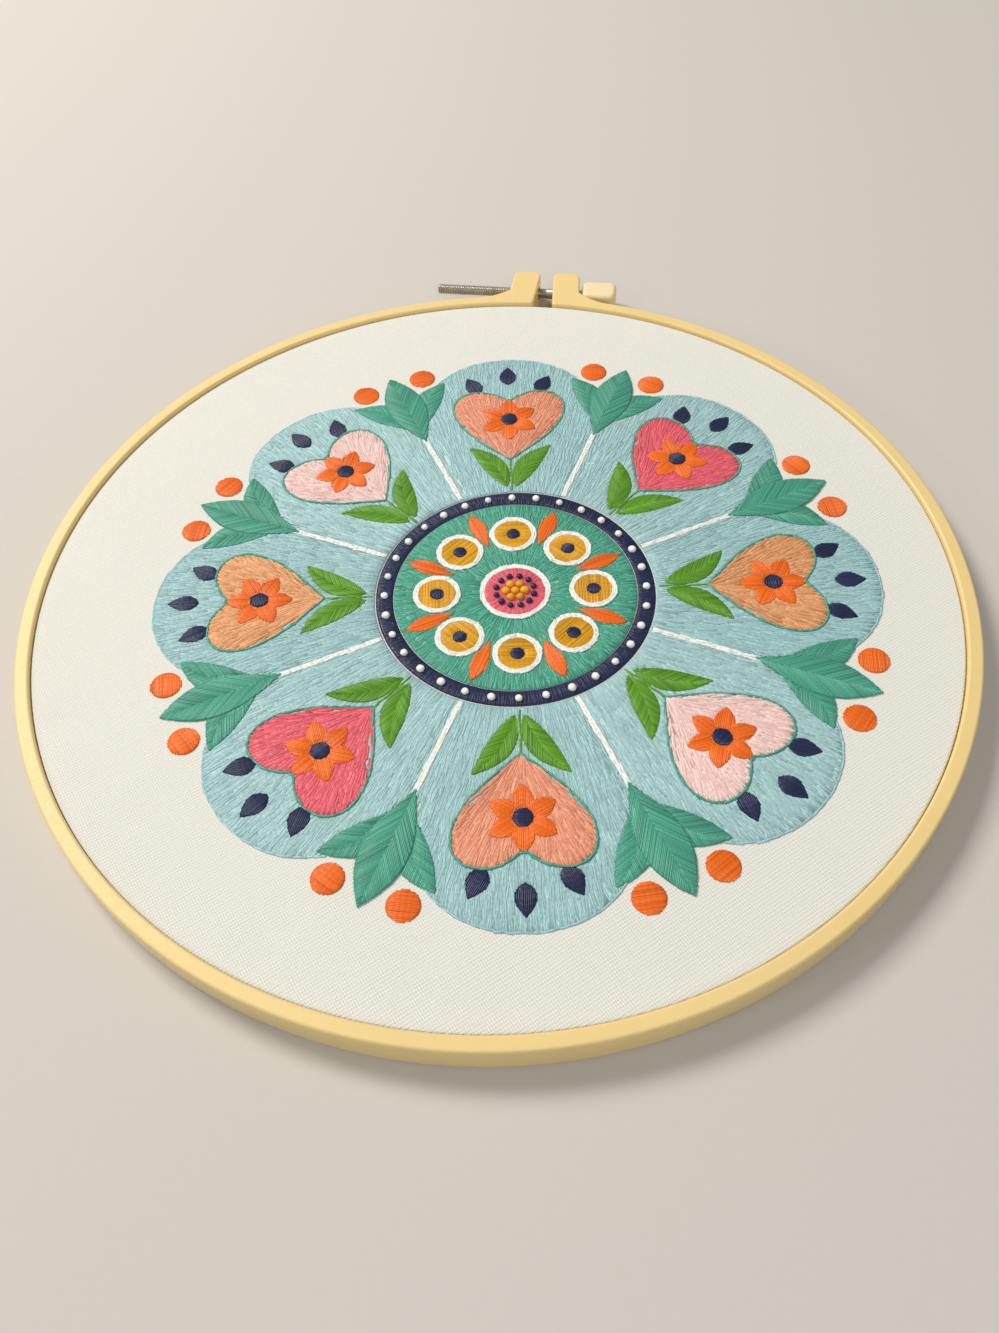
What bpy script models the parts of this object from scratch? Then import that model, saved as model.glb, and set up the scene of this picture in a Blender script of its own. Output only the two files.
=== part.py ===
"""Embroidery hoop with a piece of cloth stretched in it.

The hoop lies flat, face up: the embroidered side looks along +Z and the clamp
lugs point along +Y. Lengths are in metres.
"""
import math

import bmesh
import bpy
from mathutils import Matrix

MM = 0.001
GAP = 0.3 * MM                      # clearance kept between neighbouring pieces

# Driving sizes of the hoop.
RING_OUTER_R = 105.0 * MM           # nominal 20 cm hoop
RING_WALL = 3.2 * MM
RING_HEIGHT = 7.8 * MM
INNER_RING_WALL = 3.2 * MM
EDGE_ROUND = 0.7 * MM               # rounding of the moulded edges
ROUND_STEPS = 180                   # facets in a full turn

# Cloth, stretched over the inner ring.
CLOTH_THICKNESS = 1.0 * MM
CLOTH_RECESS = 1.0 * MM             # face of the cloth below the outer ring's face
CLOTH_BOTTOM_Z = 0.5 * MM           # trimmed edge of the turned-down cloth
CLOTH_FOLD_R = 1.5 * MM             # outer radius of the fold over the inner ring

# Clamp lugs on the outer ring.
LUG_REACH = 11.6 * MM               # how far the lugs stand out of the ring
LUG_SIDE_X = 9.8 * MM               # outer side of a lug, at its foot
LUG_TIP_SIDE_X = 9.3 * MM           # outer side of a lug, at its tip
LUG_CORNER_R = 2.2 * MM
SPLIT_TIP_X = 1.8 * MM              # half of the split, at the lugs' tips
SPLIT_FOOT_X = 2.6 * MM             # half of the split, at the ring
FLARE_HEIGHT = 3.3 * MM             # where the flare starts on the lug's side
FLARE_END_X = 17.0 * MM             # where the flare runs out on the ring
FLARE_SAG = 0.55 * MM               # how hollow the flare is

# Thumb screw.
SCREW_R = 1.4 * MM
SCREW_OFFSET = 6.5 * MM             # axis outside the ring's outer radius
SCREW_Z = 4.1 * MM
SCREW_FREE_END_X = -31.0 * MM
SCREW_CHAMFER = 0.4 * MM
SCREW_SEGMENTS = 24
SCREW_IN_KNOB = 6.0 * MM
KNOB_LENGTH = 9.7 * MM
KNOB_WIDTH = 7.4 * MM
KNOB_THICKNESS = 5.0 * MM
KNOB_CORNER_R = 2.0 * MM
KNOB_EDGE_R = 1.2 * MM

# Values that follow from the driving sizes.
RING_INNER_R = RING_OUTER_R - RING_WALL
LUG_TIP_Y = RING_OUTER_R + LUG_REACH
HOOP_CENTER_Y = -LUG_REACH / 2      # puts the origin under the middle of the whole
CLOTH_TOP_Z = RING_HEIGHT - CLOTH_RECESS
CLOTH_OUTER_R = RING_INNER_R - GAP
CLOTH_INNER_R = CLOTH_OUTER_R - CLOTH_THICKNESS
INNER_RING_OUTER_R = CLOTH_INNER_R - GAP
INNER_RING_TOP_Z = CLOTH_TOP_Z - CLOTH_THICKNESS - GAP
SCREW_Y = HOOP_CENTER_Y + RING_OUTER_R + SCREW_OFFSET
KNOB_START_X = LUG_SIDE_X + GAP

COLORS = {
    "ring_plastic": (0.800, 0.617, 0.262),
    "cloth_cotton": (0.830, 0.807, 0.730),
    "screw_steel": (0.500, 0.490, 0.470),
    "knob_plastic": (0.855, 0.723, 0.456),
}


def clear_scene():
    """Remove everything that the start-up file brought along."""
    for obj in list(bpy.data.objects):
        bpy.data.objects.remove(obj, do_unlink=True)


def make_material(name, roughness, metallic=0.0):
    """Plain Principled material in the piece's own colour."""
    material = bpy.data.materials.new(name)
    material.use_nodes = True
    shader = material.node_tree.nodes["Principled BSDF"]
    shader.inputs["Base Color"].default_value = (*COLORS[name], 1.0)
    shader.inputs["Roughness"].default_value = roughness
    shader.inputs["Metallic"].default_value = metallic
    return material


def make_object(name, bm, material, location=(0.0, 0.0, 0.0)):
    """Turn a bmesh into a smooth-shaded object."""
    bmesh.ops.recalc_face_normals(bm, faces=bm.faces)
    mesh = bpy.data.meshes.new(name)
    bm.to_mesh(mesh)
    bm.free()
    mesh.materials.append(material)
    mesh.shade_smooth()
    mesh.set_sharp_from_angle(angle=math.radians(35))
    obj = bpy.data.objects.new(name, mesh)
    obj.location = location
    bpy.context.collection.objects.link(obj)
    return obj


def arc(center, radius, start, end, steps):
    """Points on an arc in the XY plane; angles in degrees, both ends kept."""
    angles = [math.radians(start + (end - start) * i / steps) for i in range(steps + 1)]
    return [(center[0] + radius * math.cos(a), center[1] + radius * math.sin(a)) for a in angles]


def hollow_line(start, end, sag, steps):
    """Points between two ends, bowed to the right of the way by sag."""
    dx, dy = end[0] - start[0], end[1] - start[1]
    length = math.hypot(dx, dy)
    side = (dy / length, -dx / length)
    points = []
    for i in range(steps + 1):
        t = i / steps
        bow = 4.0 * sag * t * (1.0 - t)
        points.append((start[0] + dx * t + side[0] * bow, start[1] + dy * t + side[1] * bow))
    return points


def revolve(profile, closed):
    """Spin an (r, z) profile about Z; closed says that it is a loop off the axis."""
    bm = bmesh.new()
    verts = [bm.verts.new((r, 0.0, z)) for r, z in profile]
    edges = [bm.edges.new(pair) for pair in zip(verts, verts[1:])]
    if closed:
        edges.append(bm.edges.new((verts[-1], verts[0])))
    bmesh.ops.spin(bm, geom=verts + edges, cent=(0, 0, 0), axis=(0, 0, 1), angle=math.tau,
                   steps=ROUND_STEPS, use_merge=True)
    bmesh.ops.remove_doubles(bm, verts=bm.verts, dist=1e-6)
    return bm


def outer_ring_outline():
    """Outline of the split ring with its two lugs, counter-clockwise, about the hoop's centre."""
    flare_end_angle = math.degrees(math.acos(FLARE_END_X / RING_OUTER_R))
    foot_angle = math.degrees(math.acos(SPLIT_FOOT_X / RING_INNER_R))
    half_steps = ROUND_STEPS // 2
    corner_y = LUG_TIP_Y - LUG_CORNER_R
    flare_top = (LUG_SIDE_X, RING_OUTER_R * math.sin(math.acos(LUG_SIDE_X / RING_OUTER_R)) + FLARE_HEIGHT)

    right = arc((0, 0), RING_OUTER_R, -90, flare_end_angle, half_steps)
    right += hollow_line(right[-1], flare_top, -FLARE_SAG, 6)[1:]
    right += arc((LUG_TIP_SIDE_X - LUG_CORNER_R, corner_y), LUG_CORNER_R, 0, 90, 6)
    right += arc((SPLIT_TIP_X + LUG_CORNER_R, corner_y), LUG_CORNER_R, 90, 180, 6)
    right += arc((0, 0), RING_INNER_R, foot_angle, -90, half_steps)
    left = [(-x, y) for x, y in reversed(right[1:-1])]
    return right + left


def build_outer_ring(material):
    """Split outer ring and lugs as one moulding, drilled for the screw."""
    bm = bmesh.new()
    face = bm.faces.new([bm.verts.new((x, y, 0.0)) for x, y in outer_ring_outline()])
    extruded = bmesh.ops.extrude_face_region(bm, geom=[face])["geom"]
    top = [item for item in extruded if isinstance(item, bmesh.types.BMVert)]
    bmesh.ops.translate(bm, verts=top, vec=(0, 0, RING_HEIGHT))
    rims = [edge for edge in bm.edges if abs(edge.verts[0].co.z - edge.verts[1].co.z) < 1e-6]
    bmesh.ops.bevel(bm, geom=rims, offset=EDGE_ROUND, segments=2, profile=0.5, affect="EDGES",
                    material=-1, clamp_overlap=False)
    ring = make_object("outer_ring", bm, material, (0.0, HOOP_CENTER_Y, 0.0))

    drill = make_cutter("lug_drill", 2.4 * LUG_SIDE_X, (0.0, SCREW_Y, SCREW_Z))
    cut(ring, drill)
    return ring


def build_inner_ring(material):
    """Closed ring with rounded rims that carries the cloth."""
    outer, inner = INNER_RING_OUTER_R, INNER_RING_OUTER_R - INNER_RING_WALL
    top, step = INNER_RING_TOP_Z, EDGE_ROUND
    profile = [
        (outer - step, 0.0), (outer, step), (outer, top - step), (outer - step, top),
        (inner + step, top), (inner, top - step), (inner, step), (inner + step, 0.0),
    ]
    return make_object("inner_ring", revolve(profile, closed=True), material, (0.0, HOOP_CENTER_Y, 0.0))


def build_cloth(material):
    """Flat face, fold over the inner ring and turned-down edge, as one sheet."""
    fold_r, fold_z = CLOTH_OUTER_R - CLOTH_FOLD_R, CLOTH_TOP_Z - CLOTH_FOLD_R
    under_fold_r = CLOTH_FOLD_R - CLOTH_THICKNESS
    profile = [(0.0, CLOTH_TOP_Z)]
    profile += arc((fold_r, fold_z), CLOTH_FOLD_R, 90, 0, 4)
    profile += [(CLOTH_OUTER_R, CLOTH_BOTTOM_Z), (CLOTH_INNER_R, CLOTH_BOTTOM_Z)]
    profile += arc((fold_r, fold_z), under_fold_r, 0, 90, 2)
    profile += [(0.0, CLOTH_TOP_Z - CLOTH_THICKNESS)]
    return make_object("cloth", revolve(profile, closed=False), material, (0.0, HOOP_CENTER_Y, 0.0))


def make_rod(radius, length, chamfer):
    """Round rod along X, centred, with chamfered ends."""
    bm = bmesh.new()
    bmesh.ops.create_cone(bm, cap_ends=True, segments=SCREW_SEGMENTS, radius1=radius, radius2=radius,
                          depth=length, matrix=Matrix.Rotation(math.pi / 2, 4, "Y"))
    if chamfer > 0.0:
        rims = [edge for edge in bm.edges if abs(edge.verts[0].co.x - edge.verts[1].co.x) < 1e-6]
        bmesh.ops.bevel(bm, geom=rims, offset=chamfer, segments=1, profile=0.5, affect="EDGES", material=-1)
    return bm


def make_cutter(name, length, location):
    """Wire cylinder, one gap wider than the screw all round, that cuts a hole along X."""
    bm = make_rod(SCREW_R + GAP, length, 0.0)
    mesh = bpy.data.meshes.new(name)
    bm.to_mesh(mesh)
    bm.free()
    cutter = bpy.data.objects.new(name, mesh)
    cutter.location = location
    cutter.hide_render = True
    cutter.display_type = "WIRE"
    bpy.context.collection.objects.link(cutter)
    return cutter


def cut(obj, cutter):
    """Subtract the cutter from the object."""
    modifier = obj.modifiers.new("hole", "BOOLEAN")
    modifier.operation = "DIFFERENCE"
    modifier.solver = "EXACT"
    modifier.object = cutter


def build_screw(material):
    """Steel rod from its free end, left of the lugs, into the knob; its origin is on the joint's axis."""
    end_x = KNOB_START_X + SCREW_IN_KNOB
    bm = make_rod(SCREW_R, end_x - SCREW_FREE_END_X, SCREW_CHAMFER)
    bmesh.ops.translate(bm, verts=bm.verts, vec=((end_x + SCREW_FREE_END_X) / 2, 0.0, 0.0))
    return make_object("screw", bm, material, (0.0, SCREW_Y, SCREW_Z))


def build_knob(material):
    """Flat rounded grip with a blind hole for the screw; its origin is on the joint's axis."""
    bm = bmesh.new()
    bmesh.ops.create_cube(bm, size=1.0)
    bmesh.ops.scale(bm, verts=bm.verts, vec=(KNOB_LENGTH, KNOB_WIDTH, KNOB_THICKNESS))
    corners = [edge for edge in bm.edges if abs(edge.verts[0].co.z - edge.verts[1].co.z) > 1e-6]
    bmesh.ops.bevel(bm, geom=corners, offset=KNOB_CORNER_R, segments=4, profile=0.5, affect="EDGES", material=-1)
    rims = [edge for edge in bm.edges if abs(edge.verts[0].co.z - edge.verts[1].co.z) < 1e-6]
    bmesh.ops.bevel(bm, geom=rims, offset=KNOB_EDGE_R, segments=3, profile=0.5, affect="EDGES", material=-1)
    bmesh.ops.translate(bm, verts=bm.verts, vec=(KNOB_START_X + KNOB_LENGTH / 2, 0.0, 0.0))
    knob = make_object("knob", bm, material, (0.0, SCREW_Y, SCREW_Z))

    depth = SCREW_IN_KNOB + GAP
    overrun = 1.0 * MM
    drill = make_cutter("knob_drill", depth + overrun,
                        (KNOB_START_X + (depth - overrun) / 2, SCREW_Y, SCREW_Z))
    cut(knob, drill)
    return knob


def main():
    clear_scene()
    ring_plastic = make_material("ring_plastic", roughness=0.28)
    build_outer_ring(ring_plastic)
    build_inner_ring(ring_plastic)
    build_cloth(make_material("cloth_cotton", roughness=0.92))
    build_screw(make_material("screw_steel", roughness=0.3, metallic=1.0))
    build_knob(make_material("knob_plastic", roughness=0.35))


main()
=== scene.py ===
"""Looks of an embroidery hoop with a stitched rosette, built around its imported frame.

Fine models of the two rings, the cloth and the thumb screw take the places of the plain
solids, and the embroidery is laid on the cloth stitch by stitch. Lengths are in metres,
except in the embroidery's own layout, where names and docstrings say millimetres.
"""
from __future__ import annotations

import logging
import math
from dataclasses import dataclass, field
from enum import Enum
from typing import Iterable, Sequence

import bmesh
import bpy
import numpy as np
from mathutils import Matrix, Vector


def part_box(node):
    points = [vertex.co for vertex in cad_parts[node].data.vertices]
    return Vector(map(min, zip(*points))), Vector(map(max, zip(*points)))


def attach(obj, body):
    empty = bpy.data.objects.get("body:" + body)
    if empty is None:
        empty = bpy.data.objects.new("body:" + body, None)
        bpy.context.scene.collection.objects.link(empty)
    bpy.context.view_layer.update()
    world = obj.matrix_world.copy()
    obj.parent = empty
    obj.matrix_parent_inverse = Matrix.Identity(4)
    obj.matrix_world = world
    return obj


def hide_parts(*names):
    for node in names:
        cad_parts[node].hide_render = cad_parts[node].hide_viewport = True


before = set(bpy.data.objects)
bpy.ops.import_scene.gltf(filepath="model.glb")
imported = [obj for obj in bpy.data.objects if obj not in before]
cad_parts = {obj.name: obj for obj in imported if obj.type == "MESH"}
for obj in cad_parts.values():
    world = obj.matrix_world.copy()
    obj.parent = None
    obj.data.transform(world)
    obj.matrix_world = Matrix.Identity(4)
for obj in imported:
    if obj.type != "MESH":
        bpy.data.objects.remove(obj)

MM = 0.001
LOG = logging.getLogger("hoop")
ROOT_BODY = "hoop"
SCREW_BODY = "thumbscrew"
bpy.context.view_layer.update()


# --------------------------------------------------------------------------- materials


class NodeBench:
    """Adds shader nodes to one material and wires them up."""

    def __init__(self, name: str) -> None:
        """Start a node material.

        Args:
            name: The material's name.
        """
        self.material = bpy.data.materials.new(name)
        self.material.use_nodes = True
        self.tree = self.material.node_tree
        self.shader = self.tree.nodes["Principled BSDF"]

    def add(self, kind: str, **settings: object) -> bpy.types.Node:
        """Add a node.

        Args:
            kind: The node's type name, without the leading ShaderNode.
            settings: Attributes to set on the node.

        Returns:
            The new node.
        """
        node = self.tree.nodes.new("ShaderNode" + kind)
        for key, value in settings.items():
            setattr(node, key, value)
        return node

    def feed(self, target: bpy.types.NodeSocket, source: object) -> None:
        """Link a socket to the target, or set the target to a plain value."""
        if isinstance(source, bpy.types.NodeSocket):
            self.tree.links.new(source, target)
        else:
            target.default_value = source

    def math(self, operation: str, first: object, second: object = 0.0) -> bpy.types.NodeSocket:
        """Work out one arithmetic step.

        Args:
            operation: The Math node's operation.
            first: A socket or a number.
            second: A socket or a number.

        Returns:
            The result's socket.
        """
        node = self.add("Math", operation=operation)
        self.feed(node.inputs[0], first)
        self.feed(node.inputs[1], second)
        return node.outputs[0]

    def noise(self, coords: bpy.types.NodeSocket, scale: float,
              detail: float = 2.0) -> bpy.types.NodeSocket:
        """Even noise from 0 to 1.

        Args:
            coords: Where to read it.
            scale: Noise cells in a unit of the coordinates.
            detail: Octaves.

        Returns:
            The noise's factor socket.
        """
        node = self.add("TexNoise")
        self.feed(node.inputs["Vector"], coords)
        node.inputs["Scale"].default_value = scale
        node.inputs["Detail"].default_value = detail
        return node.outputs["Fac"]

    def spread(self, value: object, low: float, high: float, out_low: float,
               out_high: float) -> bpy.types.NodeSocket:
        """Map a range onto another one, clamped.

        Args:
            value: The socket that is mapped.
            low: Start of its range.
            high: End of its range.
            out_low: What low becomes.
            out_high: What high becomes.

        Returns:
            The mapped socket.
        """
        node = self.add("MapRange")
        for socket, number in zip(node.inputs, (value, low, high, out_low, out_high)):
            self.feed(socket, number)
        return node.outputs["Result"]

    def blend(self, share: object, first: object, second: object) -> bpy.types.NodeSocket:
        """Mix two colours.

        Args:
            share: How much of the second colour, as a socket or a number.
            first: A colour or its socket.
            second: A colour or its socket.

        Returns:
            The mixed colour's socket.
        """
        node = self.add("Mix", data_type="RGBA")
        self.feed(node.inputs["Factor"], share)
        self.feed(node.inputs["A"], first)
        self.feed(node.inputs["B"], second)
        return node.outputs["Result"]

    def bump(self, height: bpy.types.NodeSocket, distance: float, strength: float = 1.0) -> None:
        """Raise the surface's shading by a height.

        Args:
            height: Height from 0 to 1.
            distance: What 1 is, in metres.
            strength: Share of the effect.
        """
        node = self.add("Bump")
        node.inputs["Strength"].default_value = strength
        node.inputs["Distance"].default_value = distance
        self.feed(node.inputs["Height"], height)
        self.feed(self.shader.inputs["Normal"], node.outputs["Normal"])

    def object_coords(self) -> bpy.types.NodeSocket:
        """The piece's own coordinates, in metres."""
        return self.add("TexCoord").outputs["Object"]

    def set(self, **values: object) -> None:
        """Set the shader's plain sockets; an underscore in a name stands for a space."""
        for key, value in values.items():
            self.shader.inputs[key.replace("_", " ")].default_value = value


def srgb(red: int, green: int, blue: int) -> tuple[float, float, float, float]:
    """A screen colour as the linear colour that shaders use.

    Args:
        red: From 0 to 255.
        green: From 0 to 255.
        blue: From 0 to 255.

    Returns:
        Linear red, green, blue and a full alpha.
    """
    def linear(level: int) -> float:
        """One channel, without the screen's curve."""
        share = level / 255
        return share / 12.92 if share <= 0.04045 else ((share + 0.055) / 1.055) ** 2.4

    return linear(red), linear(green), linear(blue), 1.0


def shade_of(color: Sequence[float], factor: float) -> tuple[float, float, float, float]:
    """The colour made lighter or darker by a factor, kept below white."""
    red, green, blue = (min(1.0, channel * factor) for channel in color[:3])
    return red, green, blue, 1.0


@dataclass(frozen=True)
class MouldedPlastic:
    """Injection-moulded plastic: satin on its flat face, glossy on its walls."""

    name: str
    color: tuple[float, float, float, float]
    face_roughness: float = 0.46
    wall_roughness: float = 0.16
    ripple: float = 0.012 * MM

    def material(self) -> bpy.types.Material:
        """Make the material.

        Returns:
            A material with a cloudy tint, fine scratches and a faint flow ripple.
        """
        bench = NodeBench(self.name)
        coords = bench.object_coords()
        cloud = bench.noise(coords, 55.0, 3.0)
        bench.feed(
            bench.shader.inputs["Base Color"],
            bench.blend(cloud, shade_of(self.color, 0.94), shade_of(self.color, 1.05)),
        )
        upward = bench.add("SeparateXYZ")
        bench.feed(upward.inputs[0], bench.add("NewGeometry").outputs["Normal"])
        flatness = bench.math("ABSOLUTE", upward.outputs["Z"])
        scratches = bench.noise(coords, 900.0, 4.0)
        worn = bench.spread(scratches, 0.45, 0.75, 0.0, 0.12)
        roughness = bench.spread(flatness, 0.55, 0.98, self.wall_roughness, self.face_roughness)
        bench.feed(bench.shader.inputs["Roughness"], bench.math("ADD", roughness, worn))
        bench.bump(bench.noise(coords, 160.0, 3.0), self.ripple)
        bench.set(Specular_IOR_Level=0.5, IOR=1.49, Subsurface_Weight=0.08, Subsurface_Scale=0.002)
        bench.shader.inputs["Subsurface Radius"].default_value = (1.0, 0.7, 0.35)
        return bench.material


@dataclass(frozen=True)
class CottonWeave:
    """Plain-weave cotton, one thread over and one under, read from the flat cut of the cloth."""

    name: str = "white_cotton"
    color: tuple[float, float, float, float] = srgb(237, 237, 229)
    warp_pitch: float = 0.52 * MM
    weft_pitch: float = 0.68 * MM
    turn: float = math.radians(-40.0)
    thread_height: float = 0.20 * MM

    def material(self) -> bpy.types.Material:
        """Make the material.

        Returns:
            A material whose bump and tint follow single threads, its colour darker where the weave sinks
            between threads as painted shade.
        """
        bench = NodeBench(self.name)
        flat = bench.add("UVMap", uv_map="flat_cut").outputs["UV"]
        turned = bench.add("Mapping")
        turned.inputs["Rotation"].default_value = (0.0, 0.0, self.turn)
        bench.feed(turned.inputs["Vector"], flat)
        cloth = turned.outputs["Vector"]
        wander = bench.add("TexNoise")
        wander.inputs["Scale"].default_value = 160.0
        bench.feed(wander.inputs["Vector"], cloth)
        shifted = bench.add("VectorMath", operation="MULTIPLY_ADD")
        bench.feed(shifted.inputs[0], wander.outputs["Color"])
        shifted.inputs[1].default_value = (0.25 * MM, 0.25 * MM, 0.0)
        bench.feed(shifted.inputs[2], cloth)
        axes = bench.add("SeparateXYZ")
        bench.feed(axes.inputs[0], shifted.outputs["Vector"])

        warp_wave = bench.math("SINE", bench.math("MULTIPLY", axes.outputs["X"], math.pi / self.warp_pitch))
        weft_wave = bench.math("SINE", bench.math("MULTIPLY", axes.outputs["Y"], math.pi / self.weft_pitch))
        warp = bench.math("ABSOLUTE", warp_wave)
        weft = bench.math("ABSOLUTE", weft_wave)
        over = bench.spread(bench.math("MULTIPLY", warp_wave, weft_wave), -0.5, 0.5, 0.0, 1.0)
        under = bench.math("SUBTRACT", 1.0, over)
        height = bench.math("ADD", bench.math("MULTIPLY", warp, over), bench.math("MULTIPLY", weft, under))

        weft_slub = self.slub(bench, cloth, (1.0, 12.0, 1.0))
        warp_slub = self.slub(bench, cloth, (14.0, 1.0, 1.0))
        # Painted shade: the thread colour is darker where the weave's height is low, between the threads;
        # the slubs add real thick-and-thin tone.
        tint = bench.math("MULTIPLY", height, bench.math("MULTIPLY", weft_slub, warp_slub))
        thread = bench.blend(tint, shade_of(self.color, 0.80), shade_of(self.color, 1.05))
        cloud = bench.noise(cloth, 28.0, 3.0)
        aged = bench.blend(bench.spread(cloud, 0.35, 0.7, 0.0, 0.5), thread, shade_of(self.color, 0.93))
        bench.feed(bench.shader.inputs["Base Color"], aged)
        bench.bump(tint, self.thread_height, 0.75)
        bench.set(Roughness=0.9, Specular_IOR_Level=0.25, Sheen_Weight=0.25, Sheen_Roughness=0.5)
        return bench.material

    @staticmethod
    def slub(bench: NodeBench, cloth: bpy.types.NodeSocket,
             squeeze: Sequence[float]) -> bpy.types.NodeSocket:
        """Thick and thin places along the threads of one direction.

        Args:
            bench: The material's nodes.
            cloth: Places on the flat cut.
            squeeze: How much finer the slubs are along each axis.

        Returns:
            A factor from 0.6 to 1.
        """
        coords = bench.add("Mapping")
        coords.inputs["Scale"].default_value = squeeze
        bench.feed(coords.inputs["Vector"], cloth)
        return bench.spread(bench.noise(coords.outputs["Vector"], 170.0, 2.0), 0.3, 0.7, 0.6, 1.0)


@dataclass(frozen=True)
class CottonFloss:
    """Stranded cotton floss: a soft shine, a twist along each strand, and uneven shades."""

    name: str
    color: tuple[float, float, float, float]
    contrast: float = 0.30
    twist_pitch: float = 1.1 * MM

    def material(self) -> bpy.types.Material:
        """Make the material.

        Returns:
            A material that reads each stitch's own run, breadth and shade.
        """
        bench = NodeBench("floss_" + self.name)
        strand = bench.add("SeparateXYZ")
        bench.feed(strand.inputs[0], bench.add("Attribute", attribute_name="strand").outputs["Vector"])
        run, across, shade = strand.outputs
        shadow = shade_of(self.color, 1.0 - self.contrast)
        light = shade_of(self.color, 1.0 + self.contrast)
        # A stitch's shade is its own random tone; a pad's low shade is painted shade in the gaps between
        # stitches.
        mixed = bench.blend(shade, shadow, light)
        twist = bench.math(
            "SINE",
            bench.math(
                "ADD",
                bench.math("MULTIPLY", run, math.tau / self.twist_pitch),
                bench.math("MULTIPLY", across, 3.4),
            ),
        )
        ply = bench.spread(twist, -1.0, 1.0, 0.0, 1.0)
        # Painted shade: the colour darkens in stripes along the twist, following the same ply wave as the
        # bump, as shade in the grooves between plies.
        bench.feed(
            bench.shader.inputs["Base Color"],
            bench.blend(bench.math("MULTIPLY", ply, 0.22), mixed, shade_of(self.color, 0.62)),
        )
        bench.bump(ply, 0.03 * MM, 0.6)
        bench.set(Roughness=0.42, Specular_IOR_Level=0.45, Sheen_Weight=0.08, Sheen_Roughness=0.4)
        return bench.material


@dataclass(frozen=True)
class ScrewSteel:
    """Bright drawn steel with a little grease and dirt in its threads."""

    name: str = "screw_steel"
    color: tuple[float, float, float, float] = srgb(206, 203, 196)

    def material(self) -> bpy.types.Material:
        """Make the material."""
        bench = NodeBench(self.name)
        coords = bench.object_coords()
        grime = bench.spread(bench.noise(coords, 300.0, 3.0), 0.42, 0.68, 0.0, 1.0)
        tinted = bench.blend(grime, self.color, shade_of(self.color, 0.78))
        bench.feed(bench.shader.inputs["Base Color"], tinted)
        bench.feed(bench.shader.inputs["Roughness"], bench.spread(grime, 0.0, 1.0, 0.34, 0.5))
        bench.bump(bench.noise(coords, 2400.0, 2.0), 0.01 * MM)
        bench.set(Metallic=1.0)
        return bench.material


@dataclass(frozen=True)
class StudioPaper:
    """Plain pale paper that the hoop lies on."""

    name: str = "studio_paper"
    color: tuple[float, float, float, float] = srgb(205, 201, 195)

    def material(self) -> bpy.types.Material:
        """Make the material."""
        bench = NodeBench(self.name)
        tooth = bench.noise(bench.object_coords(), 500.0, 3.0)
        tinted = bench.blend(tooth, self.color, shade_of(self.color, 0.97))
        bench.feed(bench.shader.inputs["Base Color"], tinted)
        bench.set(Roughness=0.85, Specular_IOR_Level=0.2)
        return bench.material


# --------------------------------------------------------------------------- mesh tools


def arc(center: Sequence[float], radius: float, start: float, end: float,
        steps: int) -> list[tuple[float, float]]:
    """Points on an arc in a plane.

    Args:
        center: The arc's centre.
        radius: Its radius.
        start: First angle, in degrees.
        end: Last angle, in degrees.
        steps: Pieces that the arc is cut into.

    Returns:
        The points, with both ends.
    """
    angles = np.radians(np.linspace(start, end, steps + 1))
    return [(center[0] + radius * math.cos(a), center[1] + radius * math.sin(a)) for a in angles]


def chain(bm: bmesh.types.BMesh, points: Iterable[Sequence[float]]) -> list[bmesh.types.BMEdge]:
    """Add an open chain of edges to a bmesh.

    Args:
        bm: The bmesh.
        points: The chain's corners.

    Returns:
        The chain's edges.
    """
    verts = [bm.verts.new(point) for point in points]
    return [bm.edges.new(pair) for pair in zip(verts, verts[1:])]


def turned(profile: Sequence[tuple[float, float]], steps: int, loop: bool) -> bmesh.types.BMesh:
    """Turn an (r, z) profile about the Z axis.

    Args:
        profile: The profile's corners.
        steps: Facets in the full turn.
        loop: Whether the profile closes on itself.

    Returns:
        The turned shape.
    """
    bm = bmesh.new()
    edges = chain(bm, [(r, 0.0, z) for r, z in profile])
    if loop:
        bm.verts.ensure_lookup_table()
        edges.append(bm.edges.new((bm.verts[-1], bm.verts[0])))
    bmesh.ops.spin(bm, geom=bm.verts[:] + edges, cent=(0, 0, 0), axis=(0, 0, 1), angle=math.tau,
                   steps=steps, use_merge=True)
    bmesh.ops.remove_doubles(bm, verts=bm.verts, dist=1e-7)
    return bm


def make_piece(name: str, bm: bmesh.types.BMesh, material: bpy.types.Material,
               sharp: float = 40.0) -> bpy.types.Object:
    """Turn a bmesh into a smooth-shaded object at the origin.

    Args:
        name: The piece's name.
        bm: Its shape, which is freed.
        material: Its finish.
        sharp: Angle in degrees above which an edge stays sharp.

    Returns:
        The new object.
    """
    bmesh.ops.recalc_face_normals(bm, faces=bm.faces)
    mesh = bpy.data.meshes.new(name)
    bm.to_mesh(mesh)
    bm.free()
    mesh.materials.append(material)
    mesh.shade_smooth()
    mesh.set_sharp_from_angle(angle=math.radians(sharp))
    piece = bpy.data.objects.new(name, mesh)
    bpy.context.scene.collection.objects.link(piece)
    return piece


def even_normals(piece: bpy.types.Object) -> None:
    """Let large flat faces keep their shading flat beside rounded edges."""
    modifier = piece.modifiers.new("even_normals", "WEIGHTED_NORMAL")
    modifier.keep_sharp = True


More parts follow.
